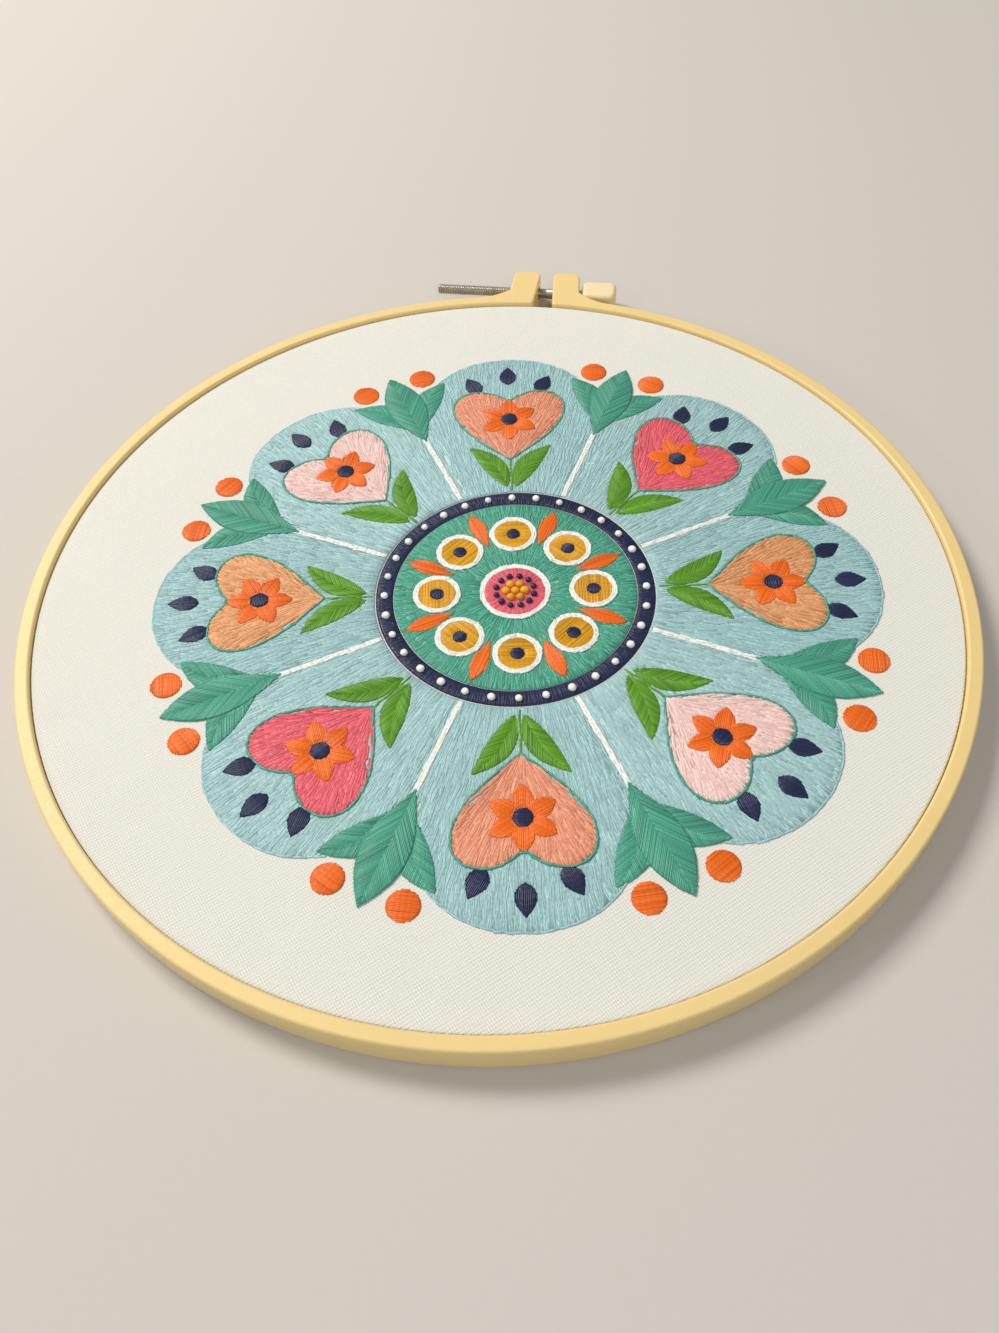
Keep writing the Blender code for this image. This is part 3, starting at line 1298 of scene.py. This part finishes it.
@dataclass
class Needle:
    """Lays the straight stitches that fill a motif. Lengths are in millimetres.

    Attributes:
        spacing: Distance from one stitch to the next one beside it.
        jag: How uneven the stitches' outer ends are.
        sway: How far a stitch's tip strays to the side.
        slant: Angle of a fishbone stitch from the vein, in degrees.
        row_share: Distance between long-and-short rows, as a share of a stitch.
        stagger: How far a row's stitches start early or late, as a share of that distance.
        overlap: Least and greatest length of a stitch, as a share of that distance.
        samples: Places along a stitch that are tested against the motifs above it.
    """

    rng: np.random.Generator
    spacing: float = 0.34
    jag: float = 0.12
    sway: float = 0.46
    slant: float = 36.0
    row_share: float = 0.74
    stagger: float = 0.45
    overlap: tuple[float, float] = (1.15, 1.5)
    samples: int = 13

    def fill(self, motif: Motif) -> np.ndarray:
        """Stitches of a motif about the rosette's middle.

        Args:
            motif: What to fill.

        Returns:
            Rows of both ends: x, y, x, y.
        """
        patch = motif.patch
        if isinstance(patch, Fan):
            ends = self.long_and_short(patch)
        elif patch.style is Style.FISHBONE:
            ends = self.fishbone(patch)
        else:
            ends = self.hatch(patch.outline(), 90.0 if patch.style is Style.SATIN else 0.0)
        return motif.place.on_rosette(ends.reshape(-1, 2)).reshape(-1, 4)

    def long_and_short(self, fan: Fan) -> np.ndarray:
        """Rows of stitches on the fan's rays, with staggered ends.

        Args:
            fan: What to fill.

        Returns:
            Rows of both ends.
        """
        length = fan.rim_r - fan.foot
        step = length / max(1, round(length / (self.row_share * fan.stitch)))
        turn = 2.0 * math.radians(fan.spread)
        found = []
        for radius in np.arange(fan.foot, fan.rim_r - 0.5 * step, step):
            count = max(1, round(turn * (radius + 0.6 * step) / self.spacing))
            t = (np.arange(count) + 0.5) / count * 2.0 - 1.0
            t = np.clip(t + self.rng.normal(0.0, 0.5 / count, count), -1.0, 1.0)
            start = radius + step * self.rng.uniform(-self.stagger, self.stagger, count)
            end = start + step * self.rng.uniform(*self.overlap, count)
            foot = fan.foot + self.rng.uniform(0.0, self.jag, count)
            start = np.where(start < fan.foot + 0.3 * step, foot, start)
            rim = fan.rim(t) + self.rng.uniform(-self.jag, self.jag, count)
            end = np.where(end > rim - 0.25 * step, rim, end)
            sway = self.rng.normal(0.0, self.sway, count) / np.maximum(turn / 2 * end, 1.0)
            kept = end - start > 0.2 * step
            swayed = np.clip(t + sway, -1.0, 1.0)
            tip = fan.ray(np.minimum(end, fan.rim(swayed)), swayed)
            found.append(np.hstack((fan.ray(start, t), tip))[kept])
        return np.vstack(found)

    def hatch(self, polygon: np.ndarray, angle: float) -> np.ndarray:
        """Stitches side by side across a polygon.

        Args:
            polygon: Its corners in order.
            angle: The stitches' direction, in degrees.

        Returns:
            Rows of both ends.
        """
        flat = turned_by(polygon, -angle)
        after = np.roll(flat, -1, axis=0)
        low, high = flat[:, 1].min(), flat[:, 1].max()
        count = max(2, round((high - low) / self.spacing))
        levels = low + (high - low) * (np.arange(count) + 0.5) / count
        rows = []
        for level in levels + self.rng.normal(0.0, 0.03, count):
            met = (flat[:, 1] > level) != (after[:, 1] > level)
            share = (level - flat[met, 1]) / (after[met, 1] - flat[met, 1])
            cuts = np.sort(flat[met, 0] + share * (after[met, 0] - flat[met, 0]))
            for first, last in zip(cuts[0::2], cuts[1::2]):
                reach = self.rng.uniform(-self.jag, self.jag, 2)
                rows.append((first + reach[0], level, last + reach[1], level))
        ends = np.array(rows)
        return turned_by(ends.reshape(-1, 2), angle).reshape(-1, 4)

    def fishbone(self, leaf: Leaf) -> np.ndarray:
        """Slanted stitches from the leaf's vein to both margins.

        Args:
            leaf: What to fill.

        Returns:
            Rows of both ends.
        """
        way = np.linspace(0.0, 1.0, 30)
        found = []
        for side in (-1.0, 1.0):
            margin = leaf.at(way, np.full(len(way), side))
            vein = leaf.at(way[::-1], np.full(len(way), -0.04 * side))
            found.append(self.hatch(np.vstack((margin, vein)), side * self.slant))
        return np.vstack(found)

    def stem_line(self, path: np.ndarray, stitch: float = 2.4) -> np.ndarray:
        """Short stitches along a line, each starting beside the end of the last.

        Args:
            path: Points of the line.
            stitch: Length of a stitch.

        Returns:
            Rows of both ends.
        """
        steps = np.hypot(*np.diff(path, axis=0).T)
        travelled = np.concatenate(((0.0,), np.cumsum(steps)))
        count = max(2, round(travelled[-1] / (0.5 * stitch)))
        starts = np.linspace(0.0, travelled[-1], count, endpoint=False)
        stops = np.minimum(starts + stitch, travelled[-1])
        ends = [np.interp(at, travelled, path[:, axis]) for at in (starts, stops) for axis in (0, 1)]
        return np.stack(ends, axis=-1) + self.rng.normal(0.0, 0.09, (count, 4))

    def clear_of(self, ends: np.ndarray, polygons: list[np.ndarray]) -> np.ndarray:
        """Shorten or drop the stitches that would run under other motifs.

        Args:
            ends: Rows of both ends.
            polygons: Outlines of those motifs.

        Returns:
            The rows that are left.
        """
        if not polygons or not len(ends):
            return ends
        share = np.linspace(0.0, 1.0, self.samples)
        dots = ends[:, None, :2] + (ends[:, 2:] - ends[:, :2])[:, None, :] * share[None, :, None]
        covered = np.zeros(dots.shape[:2], bool)
        for polygon in polygons:
            low, high = polygon.min(axis=0), polygon.max(axis=0)
            near = np.all((dots > low) & (dots < high), axis=-1)
            covered[near] |= inside(dots[near], polygon)
        kept = []
        for row, hidden in zip(ends, covered):
            if not hidden.any():
                kept.append(row)
                continue
            runs = np.split(np.arange(self.samples), np.flatnonzero(np.diff(hidden)) + 1)
            way = row[2:] - row[:2]
            for run in runs:
                if hidden[run[0]] or len(run) < 3:
                    continue
                kept.append(np.concatenate((row[:2] + way * share[run[0]], row[:2] + way * share[run[-1]])))
        return np.array(kept).reshape(-1, 4)


@dataclass
class Stitches:
    """Straight stitches of one floss: their ends, and for each its layer and shade."""

    ends: list[np.ndarray] = field(default_factory=list)
    layers: list[np.ndarray] = field(default_factory=list)
    shades: list[np.ndarray] = field(default_factory=list)
    pads: list[Motif] = field(default_factory=list)

    def add(self, ends: np.ndarray, layer: float, shades: np.ndarray) -> None:
        """Add stitches of one layer."""
        self.ends.append(ends)
        self.layers.append(np.full(len(ends), layer))
        self.shades.append(shades)

    def joined(self) -> tuple[np.ndarray, np.ndarray, np.ndarray]:
        """All ends, layers and shades, each as one array."""
        return np.vstack(self.ends), np.concatenate(self.layers), np.concatenate(self.shades)


@dataclass(frozen=True)
class MeshArrays:
    """Corners, triangles and strand values of a part of a piece."""

    corners: np.ndarray
    faces: np.ndarray
    strand: np.ndarray

    @classmethod
    def joined(cls, parts: Sequence[MeshArrays]) -> MeshArrays:
        """Several parts as one."""
        offsets = np.cumsum([0] + [len(part.corners) for part in parts[:-1]])
        return cls(
            np.vstack([part.corners for part in parts]),
            np.vstack([part.faces + offset for part, offset in zip(parts, offsets)]),
            np.vstack([part.strand for part in parts]),
        )


def triangles(bm: bmesh.types.BMesh) -> tuple[np.ndarray, np.ndarray]:
    """Corners and triangles of a bmesh, which is freed.

    Args:
        bm: The bmesh.

    Returns:
        Its corners, and three corner numbers for each triangle.
    """
    bmesh.ops.triangulate(bm, faces=bm.faces)
    bm.verts.index_update()
    corners = np.array([vert.co for vert in bm.verts])
    faces = np.array([[vert.index for vert in face.verts] for face in bm.faces])
    bm.free()
    return corners, faces


@dataclass(frozen=True)
class Strand:
    """Shape that every stitch or knot repeats, one unit long, wide and high."""

    corners: np.ndarray
    faces: np.ndarray

    @classmethod
    def spindle(cls, around: int) -> Strand:
        """Draw a sphere out along X into a straight strand with tapered ends.

        Args:
            around: Corners of its section.

        Returns:
            The strand.
        """
        bm = bmesh.new()
        bmesh.ops.create_uvsphere(bm, u_segments=around, v_segments=3, radius=0.5,
                                  matrix=Matrix.Rotation(math.pi / 2, 4, "Y"))
        for vert in bm.verts:
            girth = vert.co.yz.length
            if girth > 0.1:
                run = math.copysign(0.42, vert.co.x)
                vert.co = Vector((run, vert.co.y / girth / 2, vert.co.z / girth / 2))
        return cls(*triangles(bm))

    @classmethod
    def knot(cls) -> Strand:
        """Two turns of thread around a dimple, as a French knot has."""
        bm = bmesh.new()
        bmesh.ops.create_uvsphere(bm, u_segments=12, v_segments=8, radius=0.5)
        for vert in bm.verts:
            coil = 1.0 + 0.07 * math.sin(2.0 * math.atan2(vert.co.y, vert.co.x) + 16.0 * vert.co.z)
            dimple = 0.22 * math.exp(-((vert.co.xy.length / 0.16) ** 2)) * max(0.0, vert.co.z)
            vert.co = Vector((vert.co.x * coil, vert.co.y * coil, vert.co.z - dimple))
        return cls(*triangles(bm))

    def laid(self, places: np.ndarray, headings: np.ndarray, sizes: np.ndarray, side: float,
             shades: np.ndarray) -> MeshArrays:
        """Repeat the shape once for each stitch.

        Args:
            places: Middles of the stitches, in metres.
            headings: Their directions, in radians.
            sizes: Their lengths, widths and heights, in metres.
            side: 1 on the cloth's face and -1 on its back.
            shades: Their shades, from 0 to 1.

        Returns:
            All the stitches.
        """
        shape = self.corners[None, :, :] * sizes[:, None, :] * (1.0, side, side)
        cos, sin = np.cos(headings)[:, None], np.sin(headings)[:, None]
        x = shape[:, :, 0] * cos - shape[:, :, 1] * sin
        y = shape[:, :, 0] * sin + shape[:, :, 1] * cos
        corners = np.stack((x, y, shape[:, :, 2]), axis=-1) + places[:, None, :]
        steps = np.arange(len(places))[:, None, None] * len(self.corners)
        strand = np.stack((
            shape[:, :, 0],
            np.broadcast_to(self.corners[None, :, 1], x.shape),
            np.broadcast_to(shades[:, None], x.shape),
        ), axis=-1)
        faces = self.faces[None, :, :] + steps
        return MeshArrays(corners.reshape(-1, 3), faces.reshape(-1, 3), strand.reshape(-1, 3))


@dataclass
class Embroidery:
    """The rosette worked on the cloth: one piece for each floss, and its thread on the back.

    Attributes:
        middle_mm: The rosette's middle, from the hoop's centre.
        turn: How far the rosette is turned on the cloth, in degrees.
        layer_height: How much higher each layer of motifs lies.
        fuzz: How quickly the twist changes across a pad.
        row_gap: Distance between rows of stem stitch, in millimetres.
        stitch_overlap: How much longer a stitch is than the way between its holes.
        back_share: Share of the stitches that also show on the back.
        back_stray: How far the back's thread lies from its stitch.
        back_loose: How far the back's thread hangs off the cloth.
    """

    plan: HoopPlan
    cloth: StretchedCloth
    rosette: Rosette = field(default_factory=Rosette)
    middle_mm: tuple[float, float] = (5.2, -2.2)
    turn: float = 8.5
    thread_width: float = 0.46 * MM
    thread_height: float = 0.30 * MM
    layer_height: float = 0.12 * MM
    pad_height: float = 0.13 * MM
    pad_depth: float = 0.1 * MM
    # Painted shade: the pads are coloured darker than the mean stitch, to read as shade in the gaps between
    # stitches.
    pad_gap_shade: float = 0.35
    fuzz: float = 900.0
    white_rows: int = 3
    row_gap: float = 0.36
    stitch_overlap: float = 0.2 * MM
    back_share: float = 0.5
    back_stray: float = 0.7 * MM
    back_loose: float = 0.3 * MM
    seed: int = 7

    def __post_init__(self) -> None:
        """Thread the needle."""
        self.rng = np.random.default_rng(self.seed)
        self.needle = Needle(self.rng)

    def work(self) -> dict[Floss, Stitches]:
        """Fill every motif, from the lowest layer up.

        Returns:
            The stitches of each floss, in millimetres about the rosette's middle.
        """
        motifs = self.rosette.motifs()
        outlines = [motif.place.on_rosette(motif.patch.outline()) for motif in motifs]
        worked = {floss: Stitches() for floss in Floss}
        for motif, outline in zip(motifs, outlines):
            above = [
                other for rival, other in zip(motifs, outlines)
                if rival.layer > motif.layer and self.near(outline, other)
            ]
            ends = self.needle.clear_of(self.needle.fill(motif), above)
            tone = self.rng.normal(0.5, 0.05)
            shades = np.clip(self.rng.normal(tone, 0.22, len(ends)), 0.0, 1.0)
            worked[motif.floss].add(ends, motif.layer, shades)
            worked[motif.floss].pads.append(motif)
            if motif.edging is not None:
                path = motif.place.on_rosette(self.border(motif.patch))
                rows = self.white_rows if motif.edging is Floss.WHITE else 1
                self.add_line(worked[motif.edging], path, motif.layer + (0.8 if motif.layer else 0.1), rows)
        for line in self.rosette.lines():
            self.add_line(worked[line.floss], np.array(line.points), line.layer, line.rows)
        return worked

    @staticmethod
    def border(patch: Patch) -> np.ndarray:
        """Line that a patch's edging follows.

        Args:
            patch: The patch.

        Returns:
            Points along a fan's rim or around any other patch; only a petal's line stays open.
        """
        if isinstance(patch, Fan):
            t = np.linspace(-1.0, 1.0, 60)
            line = patch.at(np.ones(len(t)), t)
        else:
            line = patch.outline()
        return line if isinstance(patch, Petal) else np.vstack((line, line[:1]))

    def add_line(self, stitches: Stitches, path: np.ndarray, layer: float, rows: int) -> None:
        """Add rows of stem stitches along a line to a floss.

        Args:
            stitches: The floss's stitches.
            path: Points of the line.
            layer: How many layers of thread lie under it.
            rows: How many rows lie side by side.
        """
        apart = np.hypot(*np.diff(path, axis=0).T) > 1e-6
        path = path[np.append(apart, True)]
        way = np.gradient(path, axis=0)
        aside = np.column_stack((-way[:, 1], way[:, 0])) / np.hypot(*way.T)[:, None]
        for row in range(rows):
            ends = self.needle.stem_line(path + aside * (row - (rows - 1) / 2) * self.row_gap)
            stitches.add(ends, layer, self.rng.uniform(0.3, 0.8, len(ends)))

    @staticmethod
    def near(one: np.ndarray, other: np.ndarray) -> bool:
        """Whether two outlines' boxes overlap."""
        lower = np.maximum(one.min(axis=0), other.min(axis=0))
        return bool(np.all(lower < np.minimum(one.max(axis=0), other.max(axis=0))))

    def on_cloth(self, points_mm: np.ndarray) -> np.ndarray:
        """Move points from the rosette's millimetres to the hoop's middle, in metres."""
        return (turned_by(points_mm, self.turn) + np.array(self.middle_mm)) * MM

    def ground(self, spots: np.ndarray) -> np.ndarray:
        """Heights of the cloth's face at places about the hoop's centre."""
        return self.plan.cloth_top + self.cloth.height_at(spots[:, 0], spots[:, 1])

    def pad(self, motif: Motif) -> MeshArrays:
        """Low bed of thread under a motif, so that no cloth shows between its stitches; its darker colour is
        painted shade in those gaps.

        Args:
            motif: The motif.

        Returns:
            The bed as a closed shell.
        """
        rows, columns = (14, 10) if isinstance(motif.patch, Fan) else (8, 4)
        if isinstance(motif.patch, Fan) and motif.patch.spread > 90.0:
            rows, columns = 5, 120
        bm = bmesh.new()
        bmesh.ops.create_grid(bm, x_segments=rows, y_segments=columns, size=1.0)
        bmesh.ops.triangulate(bm, faces=bm.faces)
        raised = bmesh.ops.extrude_face_region(bm, geom=bm.faces[:])["geom"]
        top = {item for item in raised if isinstance(item, bmesh.types.BMVert)}
        verts = bm.verts[:]
        grid = np.array([vert.co.xy for vert in verts])
        spots = self.on_cloth(motif.place.on_rosette(motif.patch.at(
            (grid[:, 0] + 1.0) / 2, grid[:, 1]
        )))
        height = self.pad_height + motif.layer * self.layer_height
        for vert, spot, level in zip(verts, spots, self.ground(spots)):
            rise = height if vert in top else -self.pad_depth
            vert.co = self.plan.center + Vector((spot[0], spot[1], level + rise))
        bmesh.ops.remove_doubles(bm, verts=bm.verts, dist=0.004 * MM)
        bmesh.ops.recalc_face_normals(bm, faces=bm.faces)
        corners, faces = triangles(bm)
        # Painted shade: a pad's low shade darkens it, as shade in the gaps between its stitches.
        shades = np.full(len(corners), self.pad_gap_shade)
        strand = np.column_stack((corners[:, 0], corners[:, 1] * self.fuzz, shades))
        return MeshArrays(corners, faces, strand)

    def threads(self, stitches: Stitches, strand: Strand, share: float, side: float) -> MeshArrays:
        """Thread of one floss on one side of the cloth.

        Args:
            stitches: The floss's stitches.
            strand: Shape of a stitch.
            share: Share of the stitches that show on this side.
            side: 1 on the cloth's face and -1 on its back.

        Returns:
            The threads.
        """
        ends, layers, shades = stitches.joined()
        shown = self.rng.random(len(ends)) < share
        ends, layers, shades = ends[shown], layers[shown], shades[shown]
        first, last = self.on_cloth(ends[:, :2]), self.on_cloth(ends[:, 2:])
        way = last - first
        spots = (first + last) / 2
        headings = np.arctan2(way[:, 1], way[:, 0])
        count = len(ends)
        lengths = np.hypot(way[:, 0], way[:, 1]) + self.stitch_overlap
        widths = self.thread_width * self.rng.uniform(0.86, 1.16, count)
        sizes = np.stack((lengths, widths, np.full(count, self.thread_height)), axis=-1)
        ground = self.ground(spots)
        if side > 0:
            heights = ground + 0.2 * self.thread_height + layers * self.layer_height
            heights = heights + self.rng.uniform(-0.04, 0.06, count) * MM
        else:
            spots = spots + self.rng.normal(0.0, self.back_stray, (count, 2))
            headings = headings + self.rng.normal(0.0, 0.14, count)
            heights = ground - self.cloth.thickness - self.rng.uniform(0.0, self.back_loose, count)
        places = np.column_stack((spots, heights)) + np.array(self.plan.center)
        return strand.laid(places, headings, sizes, side, shades)

    def knot_arrays(self, knots: Knots, strand: Strand) -> MeshArrays:
        """A group of knots.

        Args:
            knots: The knots.
            strand: Shape of a knot.

        Returns:
            The knots' mesh.
        """
        spots = self.on_cloth(np.array(knots.points))
        count = len(spots)
        across = 2.0 * knots.radius * MM
        sizes = np.tile((across, across, 0.8 * across), (count, 1)) * self.rng.uniform(0.9, 1.1, (count, 1))
        heights = self.ground(spots) + knots.layer * self.layer_height + 0.3 * MM
        places = np.column_stack((spots, heights)) + np.array(self.plan.center)
        headings = self.rng.uniform(0.0, math.tau, count)
        return strand.laid(places, headings, sizes, 1.0, self.rng.uniform(0.4, 0.9, count))

    @staticmethod
    def stitched_piece(name: str, arrays: MeshArrays, material: bpy.types.Material) -> bpy.types.Object:
        """Make one piece of a floss's thread.

        Args:
            name: The piece's name.
            arrays: Its mesh.
            material: Its finish.

        Returns:
            The finished piece.
        """
        mesh = bpy.data.meshes.new(name)
        mesh.from_pydata(arrays.corners, [], arrays.faces)
        values = mesh.attributes.new("strand", "FLOAT_VECTOR", "POINT")
        values.data.foreach_set("vector", arrays.strand.astype(np.float32).ravel())
        mesh.materials.append(material)
        mesh.shade_smooth()
        piece = bpy.data.objects.new(name, mesh)
        bpy.context.scene.collection.objects.link(piece)
        return hand_over(piece, ROOT_BODY, "cloth_cotton")

    def build(self) -> list[bpy.types.Object]:
        """Work the rosette and join each floss into a piece for the face and one for the back.

        Returns:
            The pieces.
        """
        face, back, bead = Strand.spindle(5), Strand.spindle(4), Strand.knot()
        pieces = []
        for floss, stitches in self.work().items():
            material = floss.value.material()
            parts = [self.pad(motif) for motif in stitches.pads]
            parts.append(self.threads(stitches, face, 1.0, 1.0))
            groups = [knots for knots in self.rosette.knots() if knots.floss is floss]
            parts += [self.knot_arrays(knots, bead) for knots in groups]
            name = floss.value.name
            pieces.append(self.stitched_piece("floss_" + name, MeshArrays.joined(parts), material))
            rear = self.threads(stitches, back, self.back_share, -1.0)
            pieces.append(self.stitched_piece("back_" + name, rear, material))
        return pieces


# --------------------------------------------------------------------------- studio


@dataclass
class Studio:
    """Plain floor, soft lights and the camera."""

    plan: HoopPlan
    lens: float = 30.4
    heading: float = 10.2
    tilt: float = 36.9
    roll: float = -3.4
    stand: tuple[float, float, float] = (0.0297, -0.1636, 0.1891)

    def lay_floor(self) -> None:
        """Lay the paper under the hoop."""
        bm = bmesh.new()
        bmesh.ops.create_grid(bm, x_segments=1, y_segments=1, size=3.0)
        floor = make_piece("floor", bm, StudioPaper().material())

    def set_camera(self) -> None:
        """Stand the camera over the hoop's near side."""
        data = bpy.data.cameras.new("camera")
        data.lens = self.lens
        data.sensor_width = 36.0
        data.clip_start = 0.01
        camera = bpy.data.objects.new("camera", data)
        place = self.plan.center + Vector((0.0, 0.0, self.plan.ring_top)) + Vector(self.stand)
        turn = (
            Matrix.Rotation(math.radians(self.heading), 4, "Z")
            @ Matrix.Rotation(math.radians(self.tilt), 4, "X")
            @ Matrix.Rotation(math.radians(self.roll), 4, "Z")
        )
        camera.matrix_world = Matrix.Translation(place) @ turn
        bpy.context.scene.collection.objects.link(camera)
        bpy.context.scene.camera = camera

    def hang_light(self, name: str, place: Sequence[float], size: float, power: float,
                   color: tuple[float, float, float]) -> None:
        """Hang a square soft light that faces the hoop.

        Args:
            name: The light's name.
            place: Where it hangs.
            size: Its side.
            power: Its power in watts.
            color: Its tint.
        """
        data = bpy.data.lights.new(name, "AREA")
        data.size = size
        data.energy = power
        data.color = color
        light = bpy.data.objects.new(name, data)
        light.location = place
        light.rotation_euler = (self.plan.center - Vector(place)).to_track_quat("-Z", "Y").to_euler()
        bpy.context.scene.collection.objects.link(light)

    def light(self) -> None:
        """Light the hoop from its upper left, with soft fill."""
        world = bpy.data.worlds.new("room")
        world.use_nodes = True
        background = world.node_tree.nodes["Background"]
        background.inputs["Color"].default_value = (1.0, 0.97, 0.93, 1.0)
        background.inputs["Strength"].default_value = 0.31
        bpy.context.scene.world = world
        bpy.context.scene.view_settings.view_transform = "Standard"
        self.hang_light("key", (-0.75, 0.45, 0.95), 0.45, 14.6, (1.0, 0.95, 0.88))
        self.hang_light("fill", (0.5, -0.9, 0.9), 0.9, 4.6, (0.95, 0.97, 1.0))
        self.hang_light("glint", (-0.70, -0.46, 0.46), 0.16, 0.8, (1.0, 1.0, 1.0))

    def build(self) -> None:
        """Set up the camera, the floor and the lights."""
        self.set_camera()
        self.lay_floor()
        self.light()


def main() -> None:
    """Build every piece of the hoop in order."""
    logging.basicConfig(level=logging.INFO, format="%(name)s: %(message)s")
    plan = HoopPlan.from_frame()
    Studio(plan).build()
    ring_plastic = MouldedPlastic("ring_plastic", srgb(235, 208, 142)).material()
    OuterRing(plan).build(ring_plastic)
    InnerRing(plan).build(ring_plastic)
    screw = ThumbScrew(plan)
    screw.build_rod(ScrewSteel().material())
    screw.build_knob(MouldedPlastic("knob_plastic", srgb(240, 221, 176), 0.5, 0.3).material())
    cloth = StretchedCloth(plan)
    cloth.build(CottonWeave().material())
    Embroidery(plan, cloth).build()


if __name__ == "__main__":
    main()
